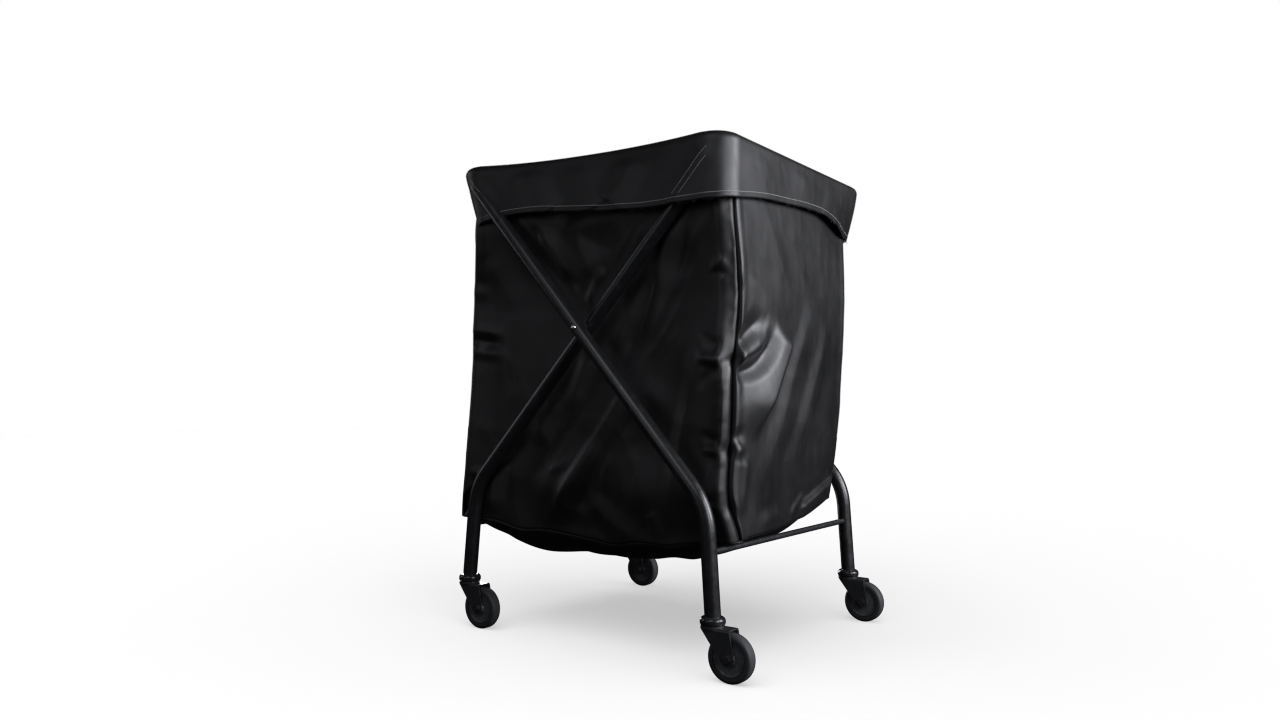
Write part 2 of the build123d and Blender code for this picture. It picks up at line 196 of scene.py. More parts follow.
def mesh_object(name, points, faces, material, uv=None):
    """A smooth-shaded mesh of one material; uv holds one pair for each point."""
    mesh = bpy.data.meshes.new(name)
    mesh.from_pydata([tuple(p) for p in points], [], [tuple(int(i) for i in f) for f in faces])
    mesh.polygons.foreach_set("use_smooth", [True] * len(mesh.polygons))
    if uv is not None:
        corners = np.zeros(len(mesh.loops), int)
        mesh.loops.foreach_get("vertex_index", corners)
        mesh.uv_layers.new(name="cloth").data.foreach_set("uv", np.asarray(uv, float)[corners].ravel())
    mesh.materials.append(material)
    mesh.update()
    return scene_object(name, mesh)


def grid_faces(rows, columns, ring=False):
    """Quads over a grid of points, row by row; a ring's last column meets its first."""
    index = np.arange(rows * columns).reshape(rows, columns)
    if ring:
        index = np.concatenate([index, index[:, :1]], axis=1)
    return np.stack([index[:-1, :-1], index[:-1, 1:], index[1:, 1:], index[1:, :-1]], axis=-1).reshape(-1, 4)


def cloth_sheet(name, surface, uv, ring=False):
    """A sheet of the bag's cloth from a (rows, columns, 3) surface, in one piece with its own thickness."""
    faces = grid_faces(*surface.shape[:2], ring)
    made = mesh_object(name, surface.reshape(-1, 3), faces, finishes["cloth"], uv.reshape(-1, 2))
    skin = made.modifiers.new("thickness", "SOLIDIFY")
    skin.thickness = CLOTH
    skin.offset = 0
    return made


def sampled(surface, row_at, column_at):
    """Points of a surface at fractional rows and columns."""
    rows, columns = surface.shape[:2]
    i = np.clip(np.floor(row_at).astype(int), 0, rows - 2)
    j = np.clip(np.floor(column_at).astype(int), 0, columns - 2)
    u, v = (row_at - i)[..., None], (column_at - j)[..., None]
    low = surface[i, j] * (1 - v) + surface[i, j + 1] * v
    high = surface[i + 1, j] * (1 - v) + surface[i + 1, j + 1] * v
    return low * (1 - u) + high * u


def ring_normals(surface):
    """Unit normals of a (rows, columns, 3) surface whose last column meets its first."""
    along = np.gradient(surface, axis=0)
    padded = np.concatenate([surface[:, -1:], surface, surface[:, :1]], axis=1)
    across = np.gradient(padded, axis=1)[:, 1:-1]
    normal = np.cross(across, along)
    return normal / np.maximum(np.linalg.norm(normal, axis=-1, keepdims=True), 1e-12)


def lengths(line):
    """The distance along a line at each of its points."""
    return np.concatenate([[0], np.cumsum(np.linalg.norm(np.diff(line, axis=0), axis=1))])


def tube_faces(base, rings, sides):
    """Quads round a tube whose rings of points start at the point base."""
    faces = []
    for ring in range(rings - 1):
        for side in range(sides):
            beside = (side + 1) % sides
            row, above = base + ring * sides, base + (ring + 1) * sides
            faces.append((row + side, row + beside, above + beside, above + side))
    return faces


def stitch_row(name, line, outward, stitch=3.4 * MM, gap=1.1 * MM, radius=0.42 * MM):
    """Thread stitches laid end to end along a line on the cloth, each a small swollen grain."""
    passed = lengths(line)
    count = int(passed[-1] / (stitch + gap))
    sides, rings = 6, ((-0.5, 0.15), (-0.38, 0.8), (0, 1.0), (0.38, 0.8), (0.5, 0.15))
    points, faces = [], []
    for k in range(count):
        middle = (k + 0.5) * passed[-1] / count
        ends = [middle - stitch / 2, middle, middle + stitch / 2]
        start, centre, end = (np.array([np.interp(at, passed, line[:, c]) for c in range(3)]) for at in ends)
        up = np.array([np.interp(middle, passed, outward[:, c]) for c in range(3)])
        forward = end - start
        forward /= np.linalg.norm(forward)
        up -= forward * (up @ forward)
        up /= np.linalg.norm(up)
        across = np.cross(forward, up)
        base = len(points)
        for at, swell in rings:
            for side in range(sides):
                angle = 2 * math.pi * side / sides
                spoke = across * math.cos(angle) * 1.15 + up * math.sin(angle)
                points.append(centre + forward * at * stitch + (spoke * swell + up * 0.35) * radius)
        faces += tube_faces(base, len(rings), sides)
        faces.append(tuple(base + side for side in reversed(range(sides))))
        faces.append(tuple(base + (len(rings) - 1) * sides + side for side in range(sides)))
    return mesh_object(name, points, faces, finishes["thread"])


def thread_tufts(name, roots, directions, seed, radius=0.16 * MM):
    """Loose thread ends: thin three-sided hairs that start at roots and bend a little."""
    dice = np.random.default_rng(seed)
    rings, sides = 5, 3
    points, faces = [], []
    for root, direction in zip(roots, directions):
        bend = dice.normal(0, 0.45, 3)
        length = np.linalg.norm(direction)
        base = len(points)
        for step in range(rings):
            t = step / (rings - 1)
            centre = root + direction * t + bend * length * t * t
            for side in range(sides):
                angle = 2 * math.pi * side / sides
                offset = np.array([math.cos(angle), math.sin(angle), 0.3 * math.sin(angle)])
                points.append(centre + offset * radius * (1 - 0.7 * t))
        faces += tube_faces(base, rings, sides)
    return mesh_object(name, points, faces, finishes["fray"])


# -------------------- finishes


def shade(tone, factor):
    """A colour made lighter or darker."""
    return tuple(c * factor for c in tone)


class Finish:
    """A material being wired: add() puts in a node and hands back one of its outputs."""

    def __init__(self, name, **sockets):
        self.material = bpy.data.materials.new(name)
        self.material.use_nodes = True
        self.tree = self.material.node_tree
        self.shader = self.tree.nodes["Principled BSDF"]
        self.finish(**sockets)
        where = self.tree.nodes.new("ShaderNodeTexCoord")
        self.object, self.uv, self.normal = (where.outputs[key] for key in ("Object", "UV", "Normal"))

    def feed(self, socket, value):
        if isinstance(value, bpy.types.NodeSocket):
            self.tree.links.new(value, socket)
        else:
            socket.default_value = value

    def put(self, node, values):
        for key, value in values.items():
            self.feed(node.inputs[key], value)

    def add(self, kind, values, output=0, **settings):
        node = self.tree.nodes.new("ShaderNode" + kind)
        for key, value in settings.items():
            setattr(node, key, value)
        self.put(node, values)
        return node.outputs[output]

    def noise(self, vector, scale, detail=2.0, roughness=0.5):
        sockets = {"Vector": vector, "Scale": scale, "Detail": detail, "Roughness": roughness}
        return self.add("TexNoise", sockets)

    def scaled(self, vector, factors):
        return self.add("Mapping", {"Vector": vector, "Scale": factors})

    def ranged(self, value, low, high, to_low, to_high):
        sockets = {"Value": value, "From Min": low, "From Max": high, "To Min": to_low, "To Max": to_high}
        return self.add("MapRange", sockets, clamp=True)

    def blend(self, factor, first, second):
        node = self.tree.nodes.new("ShaderNodeMix")
        node.data_type = "RGBA"
        for socket, value in zip((0, 6, 7), (factor, first, second)):
            self.feed(node.inputs[socket], (*value, 1) if isinstance(value, tuple) else value)
        return node.outputs[2]

    def math(self, operation, first, second=0.0):
        node = self.tree.nodes.new("ShaderNodeMath")
        node.operation = operation
        for socket, value in zip(node.inputs, (first, second)):
            self.feed(socket, value)
        return node.outputs[0]

    def bump(self, height, distance, strength, under=None):
        values = {"Height": height, "Distance": distance, "Strength": strength}
        if under is not None:
            values["Normal"] = under
        return self.add("Bump", values)

    def finish(self, **sockets):
        self.put(self.shader, {key.replace("_", " "): value for key, value in sockets.items()})
        return self.material


def coated_cloth(name, tone, shine):
    """Close-woven polyester with a satin coating: fine weave, slight crumple and uneven gloss."""
    f = Finish(name, IOR=1.47)
    threads = {"Vector": f.uv, "Scale": 430.0, "Distortion": 0.6}
    warp, weft = (f.add("TexWave", threads, output=1, bands_direction=way) for way in "XY")
    weave = f.math("MULTIPLY", warp, weft)
    crumple = f.noise(f.object, 30.0, 3.0, 0.5)
    grain = f.noise(f.object, 520.0, 2.0, 0.6)
    cloud = f.noise(f.object, 9.0, 3.0, 0.5)
    rub = f.noise(f.scaled(f.object, (1.0, 1.0, 0.35)), 70.0, 5.0, 0.65)
    soft = f.bump(crumple, 1.0 * MM, 0.22)
    fine = f.bump(grain, 0.12 * MM, 0.35, soft)
    woven = f.bump(weave, 0.07 * MM, 0.4, fine)
    colour = f.blend(f.ranged(cloud, 0.35, 0.65, 0.0, 1.0), shade(tone, 0.82), shade(tone, 1.25))
    colour = f.blend(f.ranged(rub, 0.66, 0.78, 0.0, 0.35), colour, shade(tone, 2.2))
    uneven = f.ranged(cloud, 0.3, 0.7, shine - 0.04, shine + 0.05)
    gloss = f.math("ADD", uneven, f.ranged(rub, 0.45, 0.8, 0.0, 0.09))
    return f.finish(Base_Color=colour, Roughness=gloss, Normal=woven)


def thread_finish(name, tone):
    """Spun thread: a fine twist along each stitch."""
    f = Finish(name, Sheen_Weight=0.25)
    twist = f.noise(f.scaled(f.object, (900.0, 900.0, 900.0)), 2.0, 3.0)
    colour = f.blend(f.ranged(twist, 0.3, 0.7, 0.0, 1.0), shade(tone, 0.7), tone)
    rough = f.ranged(twist, 0.2, 0.8, 0.6, 0.85)
    return f.finish(Base_Color=colour, Roughness=rough, Normal=f.bump(twist, 0.1 * MM, 0.6))


def powder_coat(name, tone, gloss):
    """Baked powder coat: orange peel, faint dust and small rubbed places."""
    f = Finish(name, IOR=1.5)
    peel = f.noise(f.object, 640.0, 2.0, 0.5)
    flow = f.noise(f.object, 95.0, 3.0, 0.5)
    dust = f.noise(f.scaled(f.object, (1.0, 1.0, 0.5)), 55.0, 6.0, 0.7)
    normal = f.bump(peel, 0.05 * MM, 0.2, f.bump(flow, 0.25 * MM, 0.07))
    colour = f.blend(f.ranged(dust, 0.5, 0.78, 0.0, 0.55), tone, shade(tone, 2.1))
    uneven = f.ranged(flow, 0.3, 0.7, gloss - 0.05, gloss + 0.05)
    rough = f.math("ADD", uneven, f.ranged(dust, 0.5, 0.8, 0.0, 0.14))
    return f.finish(Base_Color=colour, Roughness=rough, Normal=normal)


def metal(name, tone, gloss, scratch):
    """Bare or plated steel with fine scratches and dull patches."""
    f = Finish(name, Metallic=1.0)
    lines = f.noise(f.scaled(f.object, (1.0, 1.0, 14.0)), 260.0, 4.0, 0.6)
    patch = f.noise(f.object, 150.0, 4.0, 0.6)
    colour = f.blend(f.ranged(patch, 0.35, 0.7, 0.0, 1.0), tone, shade(tone, 0.62))
    uneven = f.ranged(lines, 0.3, 0.7, gloss - 0.06, gloss + 0.1)
    rough = f.math("ADD", uneven, f.ranged(patch, 0.5, 0.8, 0.0, 0.15))
    return f.finish(Base_Color=colour, Roughness=rough, Normal=f.bump(lines, 0.05 * MM, scratch))


def moulded(name, tone, gloss, grain):
    """Moulded plastic: a fine spark-eroded grain and slight flow marks."""
    f = Finish(name, IOR=1.49)
    pits = f.noise(f.object, 1400.0, 2.0, 0.6)
    flow = f.noise(f.object, 120.0, 3.0, 0.55)
    colour = f.blend(f.ranged(flow, 0.35, 0.68, 0.0, 1.0), shade(tone, 0.8), shade(tone, 1.2))
    rough = f.ranged(flow, 0.3, 0.7, gloss - 0.05, gloss + 0.07)
    return f.finish(Base_Color=colour, Roughness=rough, Normal=f.bump(pits, 0.06 * MM, grain))


def rubber(name, tone, axle, joint_radius):
    """Solid rubber: smooth sides, a dark joint line round the hub, and a tread rubbed grey by the floor."""
    f = Finish(name, IOR=1.5)
    spoke = f.add("Mapping", {"Vector": f.object, "Location": (-axle.x, 0, -axle.z), "Scale": (1, 0, 1)})
    distance = f.add("VectorMath", {0: spoke}, output=1, operation="LENGTH")
    beyond = f.math("ABSOLUTE", f.math("SUBTRACT", distance, joint_radius))
    joint = f.ranged(beyond, 1.1 * MM, 2.0 * MM, 1.0, 0.0)
    facing = f.add("SeparateXYZ", {"Vector": f.normal}, output=1)
    tread = f.ranged(f.math("ABSOLUTE", facing), 0.25, 0.75, 1.0, 0.0)
    scuff = f.noise(f.object, 230.0, 6.0, 0.7)
    fine = f.noise(f.object, 1100.0, 2.0, 0.6)
    worn = f.math("MULTIPLY", tread, f.ranged(scuff, 0.38, 0.62, 0.25, 1.0))
    colour = f.blend(worn, tone, shade(tone, 1.4))
    colour = f.blend(joint, colour, shade(tone, 0.1))
    rough = f.math("ADD", f.ranged(scuff, 0.3, 0.7, 0.5, 0.6), f.math("MULTIPLY", tread, 0.18))
    normal = f.bump(fine, 0.06 * MM, 0.4, f.bump(scuff, 0.2 * MM, 0.3))
    return f.finish(Base_Color=colour, Roughness=rough, Normal=normal)


finishes = {
    "frame": powder_coat("frame_powder_coat", (0.0105, 0.0107, 0.0116), 0.31),
    "rod": powder_coat("rod_powder_coat", (0.016, 0.0165, 0.0175), 0.36),
    "caster": powder_coat("caster_black_steel", (0.024, 0.0244, 0.0262), 0.3),
    "collar": powder_coat("collar_black_steel", (0.014, 0.0142, 0.0155), 0.21),
    "rivet": metal("rivet_bright_steel", (0.74, 0.74, 0.72), 0.24, 0.3),
    "axle": metal("axle_dark_zinc", (0.42, 0.41, 0.39), 0.22, 0.4),
    "stem": metal("stem_zinc_steel", (0.5, 0.5, 0.49), 0.3, 0.3),
    "ball": metal("ball_bearing_steel", (0.7, 0.7, 0.7), 0.12, 0.1),
    "washer": moulded("washer_nylon", (0.045, 0.045, 0.048), 0.42, 0.2),
    "socket": moulded("socket_plastic", (0.014, 0.014, 0.015), 0.42, 0.4),
    "hub": moulded("hub_plastic", (0.075, 0.0766, 0.0819), 0.38, 0.35),
    "cloth": coated_cloth("bag_coated_cloth", (0.006, 0.006, 0.0066), 0.42),
    "thread": thread_finish("hem_thread_grey", (0.5, 0.5, 0.48)),
    "fray": thread_finish("frayed_yarn", (0.045, 0.045, 0.05)),
}

RUBBER_TONE = (0.023, 0.0235, 0.0255)
NODE_FINISH = {
    "frame_tube": "frame", "cross_rod": "rod", "pivot_rivet": "rivet", "pivot_washer": "washer",
    "stem_socket": "socket", "caster_stem": "stem", "caster_collar": "collar", "swivel_balls": "ball",
    "caster_fork": "caster", "axle_bolt": "axle", "axle_nut": "axle", "axle_bushing": "stem",
    "wheel_hub": "hub",
}
for node_name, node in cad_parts.items():
    for part, finish in NODE_FINISH.items():
        if part in node_name:
            node.data.materials.clear()
            node.data.materials.append(finishes[finish])
    if "wheel_tyre" in node_name:
        tyre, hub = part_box(node_name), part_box(node_name.replace("tyre", "hub"))
        axle, hub_radius = (tyre[0] + tyre[1]) / 2, (hub[1].z - hub[0].z) / 2
        node.data.materials.clear()
        node.data.materials.append(rubber(f"{node_name}_rubber", RUBBER_TONE, axle, hub_radius))

# -------------------- the bag's outline

FRONT, RIGHT, BACK, LEFT = range(4)


def corner_line(sign_x, sign_y, offsets):
    """A vertical seam: the bag's corner by height, moved out by (height, x, y) offsets in millimetres."""
    out_x = curve_mm([(z, x) for z, x, y in offsets])
    out_y = curve_mm([(z, y) for z, x, y in offsets])
    return lambda z: (sign_x * (BAG_X + out_x(z)), sign_y * (BAG_Y + out_y(z)))


# How a wall's edge turns in to a seam: its shifts outwards and away from the seam, by distance from the seam.
EVEN_ROLL = (
    curve_mm([(0, -5), (2, -2.6), (6, 0), (12, 1.4), (30, 0)]),
    curve_mm([(0, 5), (2, 2.6), (6, 0.4), (10, 0)]),
)
TURNED_ROLL = (
    curve_mm([(0, -27), (2, -24), (11, -13), (20, -2.6), (24, -0.4), (34, 0)]),
    curve_mm([(0, 6), (2, 3.6), (6, 1.6), (14, 0)]),
)
FACING_ROLL = (
    curve_mm([(0, -6.5), (2, -2.6), (6, 0), (18, 1.3), (45, 0)]),
    curve_mm([(0, 28), (2, 26.5), (12, 18), (32, 6), (60, 0)]),
)
# The front's and back's turned edges are narrower low down: their share of the full width, by height.
TURNED_WIDTH = curve([(0.15, 0.5), (0.3, 0.52), (0.46, 0.58), (0.53, 1.0), (0.87, 1.0)])

near_seam = corner_line(
    1, -1,
    [(150, 2, -6), (204, 3, 0), (277, -8, 20), (350, -8, 17), (420, -5, 17), (481, -4, 16), (540, -1, 10),
     (594, 2, 8), (650, 1, 11), (757, -3, 19), (800, -8, 12), (838, -26, 3), (870, -27, 2)],
)
# The heights at which the near seam is pulled in, and how far.
PINCHES = ((0.497, 7 * MM), (0.352, 5 * MM), (0.262, 2.4 * MM))
PINCH_HEIGHT = 11 * MM
PINCH_REACH = 16 * MM


def pinched(z, distance):
    """The pull of the near seam's pinches on the cloth at a height and a distance from the seam."""
    pull = sum(-depth * np.exp(-(((z - at) / PINCH_HEIGHT) ** 2)) for at, depth in PINCHES)
    return pull * np.exp(-distance / PINCH_REACH)


far_left_seam = corner_line(
    -1, -1,
    [(150, 22, 10), (200, 25, 15), (221, 24, 16), (300, 19, 15), (486, 8, 13), (520, 7, 13), (545, 7, 14),
     (644, 1, 17), (720, -14, 32), (757, -19, 38), (800, -22, 34), (838, -26, 25), (870, -27, 25)],
)
right_back_seam = corner_line(
    1, 1,
    [(150, -42, -11), (225, -40, -9), (262, -34, -7), (330, -24, -5), (475, -13, -4), (616, -7, -2),
     (757, -17, 15), (800, -19, 18), (838, -26, 22), (870, -27, 25)],
)
left_back_seam = corner_line(
    -1, 1,
    [(150, -12, -6), (204, -8, 0), (300, -4, 12), (420, -6, 9), (520, -2, 14), (640, -5, 8), (757, -3, 12),
     (800, -9, 6), (838, -26, 3), (870, -27, 2)],
)

# The height of each wall's lower edge, where it is sewn to the bottom.
FRONT_HEM = curve_mm([
    (-300, 203), (-222, 201), (-163, 190), (-114, 193), (-60, 190), (-2, 184), (42, 180), (96, 188),
    (127, 188), (150, 187), (183, 193), (228, 199), (290, 204),
])
RIGHT_HEM = curve_mm([
    (-240, 204), (-200, 207), (-100, 210), (0, 214), (80, 222), (150, 233), (200, 242), (230, 246),
])
BACK_HEM = curve_mm([
    (-290, 204), (-210, 198), (-140, 188), (-70, 183), (10, 186), (90, 180), (160, 194), (220, 226),
    (260, 247),
])
LEFT_HEM = curve_mm([
    (-245, 204), (-150, 212), (-50, 208), (40, 213), (130, 209), (240, 204),
])

LONG_ENDS = (0.25, 0.3)
SIDE_ENDS = (0.2, 0.4)
PULL_ENDS = (0.12, 0.5)
# Each wall's folds: a path on the wall, a height, and the reaches and spread that fold() takes.
# The front's sweep down from its upper right; its small ones are pulls at the seams.
FRONT_FOLDS = (
    (LONG_ENDS, (
        ([(110, 500), (60, 435), (-27, 318), (-114, 190)], 15, 22, 44, 1.2),
        ([(180, 780), (152, 700), (112, 582), (59, 488)], 8, 20, 40, 1.2),
        ([(193, 570), (144, 508), (92, 470)], 4, 22, 14),
        ([(250, 620), (233, 544), (186, 361), (148, 192)], 9, 30, 46, 1.3),
        ([(-15, 262), (42, 216), (110, 188)], 4, 18, 16, 1.2),
        ([(-220, 800), (-176, 771), (-81, 678), (-44, 616)], 5, 24, 14),
        ([(-15, 520), (-58, 407)], 3, 16, 12, 1.2),
        ([(-100, 440), (-136, 340)], 3, 26, 20),
        ([(126, 756), (96, 715), (21, 622)], 2, 8, 6, 1.2),
        ([(104, 756), (74, 715), (6, 636)], 1.6, 8, 6, 1.2),
        ([(-40, 770), (-30, 700), (0, 640)], 6, 40, 28),
        ([(-128, 745), (-92, 690), (-52, 640)], 4, 9, 12),
        ([(20, 668), (-4, 640), (-26, 600)], 3, 8, 8),
        ([(250, 760), (205, 700), (150, 600), (100, 520)], 5, 12, 30, 1.2),
        ([(17, 373), (-61, 262), (-84, 196)], 4, 18, 13, 1.3),
        ([(140, 480), (61, 374), (10, 262)], 8, 30, 18, 1.2),
        ([(-222, 330), (-236, 260), (-238, 205)], 5, 18, 12, 1.2),
        ([(-190, 470), (-205, 400), (-214, 330)], 2, 26, 20),
        ([(-250, 700), (-215, 640), (-190, 590)], 3, 30, 26),
        ([(96, 500), (20, 400), (-60, 290), (-104, 190)], -5, 20),
        ([(200, 540), (165, 380), (112, 190)], -4, 26),
        ([(130, 660), (92, 560), (50, 480)], -5, 18),
        ([(-90, 770), (-10, 716), (50, 690)], -5, 30),
        ([(-160, 766), (-118, 716), (-78, 660), (-36, 606)], -6, 12),
    )),
    (PULL_ENDS, (
        ([(272, 499), (244, 500), (214, 508)], 8, 8),
        ([(262, 520), (240, 528), (214, 548)], -4, 9),
        ([(262, 484), (240, 470), (222, 446)], -3, 8),
        ([(270, 352), (250, 351), (228, 356)], 5, 7),
        ([(265, 366), (244, 372), (228, 386)], -3, 8),
        ([(-292, 562), (-250, 558), (-205, 552)], 3, 11),
        ([(-294, 544), (-250, 538), (-215, 528)], -5, 12),
        ([(-292, 524), (-250, 518), (-205, 514)], 3, 11),
        ([(-296, 640), (-262, 632), (-240, 620)], 2, 12),
        ([(268, 662), (250, 655), (236, 640)], 3, 7),
        ([(268, 642), (252, 640), (240, 650)], -2, 6),
        ([(266, 262), (246, 256), (230, 240)], 3, 7),
        ([(-278, 300), (-262, 262), (-250, 225)], 4, 9),
        ([(-60, 236), (-20, 226), (10, 200)], 2.5, 14),
        ([(-96, 300), (-60, 318), (-40, 350)], 2, 7),
        ([(120, 240), (134, 214), (140, 186)], 1.8, 15),
    )),
)
# The right side's fan out from the near seam's pinches, under long diagonals.
RIGHT_FOLDS = (
    (SIDE_ENDS, (
        ([(-250, 497), (-212, 505), (-178, 517), (-146, 534), (-118, 552)], 10, 16, 11, 1.2),
        ([(-244, 480), (-205, 479), (-166, 488), (-134, 512), (-110, 548), (-98, 580)], -10, 11, 13, 1.2),
        ([(-244, 522), (-205, 536), (-165, 560), (-140, 590)], -6, 16, 12, 1.3),
        ([(-50, 566), (-82, 500), (-128, 430), (-178, 362)], 20, 14, 48, 0.9),
        ([(52, 610), (2, 520), (-48, 430), (-105, 330), (-150, 256)], 5, 26, 18, 1.3),
        ([(130, 600), (90, 500), (44, 420), (-16, 320), (-58, 252)], 4, 22, 16, 1.3),
        ([(-186, 346), (-192, 296), (-204, 236)], 7, 12, 40, 1.2),
    )),
    ((0.08, 0.45), (
        ([(-250, 350), (-218, 352), (-180, 350)], 6, 10),
        ([(-248, 368), (-218, 376), (-184, 378)], -4, 11),
        ([(-248, 264), (-222, 260), (-200, 244)], 2.5, 12),
        ([(-248, 640), (-236, 632), (-226, 612)], 2, 8),
    )),
    ((0.2, 0.15), (
        ([(30, 232), (80, 244), (150, 262), (215, 276)], 6, 4, 26),
        ([(40, 246), (90, 258), (160, 276), (215, 290)], -4, 14, 5),
        ([(-120, 216), (-100, 232), (-60, 234), (-20, 224)], 1.6, 12, 14),
        ([(-150, 240), (-110, 248), (-60, 250)], -1.4, 14, 12),
        ([(0, 222), (20, 240), (60, 262)], 3, 7, 9),
    )),
)
BACK_FOLDS = (
    (LONG_ENDS, (
        ([(-130, 520), (-70, 420), (30, 310), (112, 190)], 12, 44, 22, 1.2),
        ([(-190, 780), (-150, 690), (-100, 590), (-50, 490)], 7, 40, 20, 1.2),
        ([(-252, 610), (-226, 530), (-180, 360), (-146, 192)], 9, 40, 20, 1.3),
        ([(70, 560), (130, 430), (196, 300)], 6, 34, 20, 1.2),
        ([(210, 790), (150, 720), (70, 640)], 4, 22, 26),
        ([(-20, 290), (-66, 228), (-120, 190)], 5, 18, 16, 1.2),
        ([(20, 770), (10, 700), (-10, 640)], 5, 34, 42),
        ([(-96, 500), (-20, 400), (60, 290), (104, 190)], -4, 20, 20),
    )),
    (PULL_ENDS, (
        ([(-272, 430), (-238, 430), (-205, 440)], 5, 10),
        ([(-268, 412), (-238, 404), (-210, 388)], -4, 10),
        ([(262, 520), (228, 516), (196, 522)], 4, 11),
        ([(262, 502), (228, 496), (204, 484)], -4, 11),
    )),
)
LEFT_FOLDS = (
    (SIDE_ENDS, (
        ([(-240, 545), (-196, 552), (-160, 568), (-126, 592)], 6, 20, 14, 1.3),
        ([(-238, 528), (-190, 527), (-150, 544), (-114, 584)], -5, 16, 18, 1.3),
        ([(-54, 612), (-88, 536), (-134, 450), (-176, 376)], 11, 22, 60),
        ([(44, 650), (-6, 545), (-60, 430), (-122, 292)], 5, 38, 26, 1.3),
        ([(190, 600), (120, 470), (70, 330), (60, 204)], 6, 36, 24, 1.3),
        ([(-170, 330), (-110, 270), (-20, 240)], 4, 26, 20, 1.2),
        ([(236, 424), (196, 430), (156, 446)], 6, 12, 10, 1.1),
        ([(236, 408), (200, 402), (160, 386)], -5, 12, 12, 1.1),
        ([(176, 372), (152, 300), (140, 226)], 6, 40, 16, 1.1),
    )),
)


def behind_bars(x, z, out, inner_bar, outer_bar):
    """Holds a wall's outward distance behind its crossing bars: bar 1 climbs towards +X, -1 towards -X."""
    gap = TUBE_RADIUS + BAR_CLEARANCE
    for bar, depth in ((inner_bar, INNER_Y), (outer_bar, OUTER_Y)):
        away = np.abs((z - PIVOT_Z) - bar * BAR_SLOPE * x) / math.hypot(1, BAR_SLOPE)
        limit = depth - np.sqrt(np.maximum(gap**2 - away**2, 0))
        near = smooth((2.6 * gap - away) / (1.6 * gap))
        limit = np.where(away < gap, limit, depth + (away - gap) * 1.2)
        pressed = np.minimum(out, limit)
        out = out * (1 - near) + pressed * near
        out = np.where(away < gap, np.minimum(out, limit), out)
    return out


def wall(side, start, end, hem, groups, bow):
    """One wall of the bag, as a (rows, columns, 3) surface and its flat coordinates.
    start and end are its left and right seams as seen from outside, bow how far its middle stands out."""
    along_x = side in (FRONT, BACK)
    forward = 1 if side in (FRONT, RIGHT) else -1
    width = 2 * (BAG_X if along_x else BAG_Y)
    columns, rows = int(width / GRID) + 1, int((RIM_Z - BOTTOM_EDGE_Z) / GRID) + 1
    s = np.linspace(0, 1, columns)[None, :]
    t = np.linspace(0, 1, rows)[:, None]
    ends = (float(seam(BOTTOM_EDGE_Z)[0 if along_x else 1]) for seam in (start, end))
    low_z = hem(np.linspace(*ends, columns))[None, :]
    z = low_z + (WALL_TOP_Z - low_z) * t
    (x0, y0), (x1, y1) = start(z), end(z)
    x, y = x0 + (x1 - x0) * s, y0 + (y1 - y0) * s
    a = x if along_x else y
    # The wall's bow and folds, slow waves, and creases pressed inwards.
    out = bow(s, z) + folds(a, z, groups)
    out += (ripple(a, z * 0.7, 95 * MM, side) * 1.5 + ripple(a, z, 34 * MM, side + 9) * 0.15) * MM
    creases = np.abs(ripple(a * 0.8 + z * 0.4, z * 0.7, 80 * MM, side + 60)) * 2.2
    creases += np.abs(ripple(a, z * 0.8, 40 * MM, side + 70)) * 0.8
    out -= creases * MM
    # Small puckers along the turned edge.
    if along_x:
        puckers = ripple(a, z, 9 * MM, side + 40) * 1.3 + ripple(a, z * 1.6, 22 * MM, side + 50) * 1.6
        out += puckers * MM * np.exp(-(((1 - s) * width / PUCKER_REACH) ** 2))
    # All of it dies away at the seams, and nearly all at the neck, where the rails stretch the cloth.
    fade = smooth(np.minimum(s, 1 - s) / EDGE_FADE)
    neck = smooth((WALL_TOP_Z - z) / NECK_HEIGHT)
    out = out * fade * (0.15 + 0.85 * neck)
    # Each edge rolls in to its seam.
    tightness = 0.25 + 0.75 * neck
    slide = 0 * out
    rolls = (EVEN_ROLL, TURNED_ROLL) if along_x else (FACING_ROLL, EVEN_ROLL)
    for share, (roll_out, roll_along), towards in ((s, rolls[0], 1), (1 - s, rolls[1], -1)):
        distance = share * width / (TURNED_WIDTH(z) if along_x and towards < 0 else 1)
        out += tightness * roll_out(distance)
        slide += tightness * roll_along(distance) * towards
    if along_x:
        x = x + slide * forward
    else:
        y = y + slide * forward
    if side in (FRONT, RIGHT):
        pull = pinched(z, (s if side == RIGHT else 1 - s) * width)
        x, y = x + 0.7 * pull, y - 0.5 * pull
    if along_x:
        y = -forward * behind_bars(x, z, -forward * y + out, forward, -forward)
    else:
        x = x + forward * out
    surface = np.stack([x, y, z + 0 * x], axis=-1)
    uv = np.stack([np.broadcast_to(s * width, x.shape), np.broadcast_to(z, x.shape)], axis=-1)
    return surface, uv


def bowed(low, high, flat=2.6):
    """How far a wall stands out at its middle, low down and high up, in millimetres."""
    by_height = ((0.19, low * 0.5), (0.3, low), (0.5, (low + high) / 2), (0.7, high), (0.87, high * 0.4))
    swell = curve([(z, stands_out * MM) for z, stands_out in by_height])
    return lambda s, z: swell(z) * (1 - np.abs(2 * s - 1) ** flat)


walls = [
    wall(FRONT, far_left_seam, near_seam, FRONT_HEM, FRONT_FOLDS, bowed(-20, -23, 4)),
    wall(RIGHT, near_seam, right_back_seam, RIGHT_HEM, RIGHT_FOLDS, bowed(11, 7, 3.2)),
    wall(BACK, right_back_seam, left_back_seam, BACK_HEM, BACK_FOLDS, bowed(-20, -23, 4)),
    wall(LEFT, left_back_seam, far_left_seam, LEFT_HEM, LEFT_FOLDS, bowed(8, 6)),
]
WALL_NAMES = ("front", "right", "back", "left")
wall_objects = [cloth_sheet(f"bag_{name}_cloth", *made) for name, made in zip(WALL_NAMES, walls)]

# -------------------- the bottom


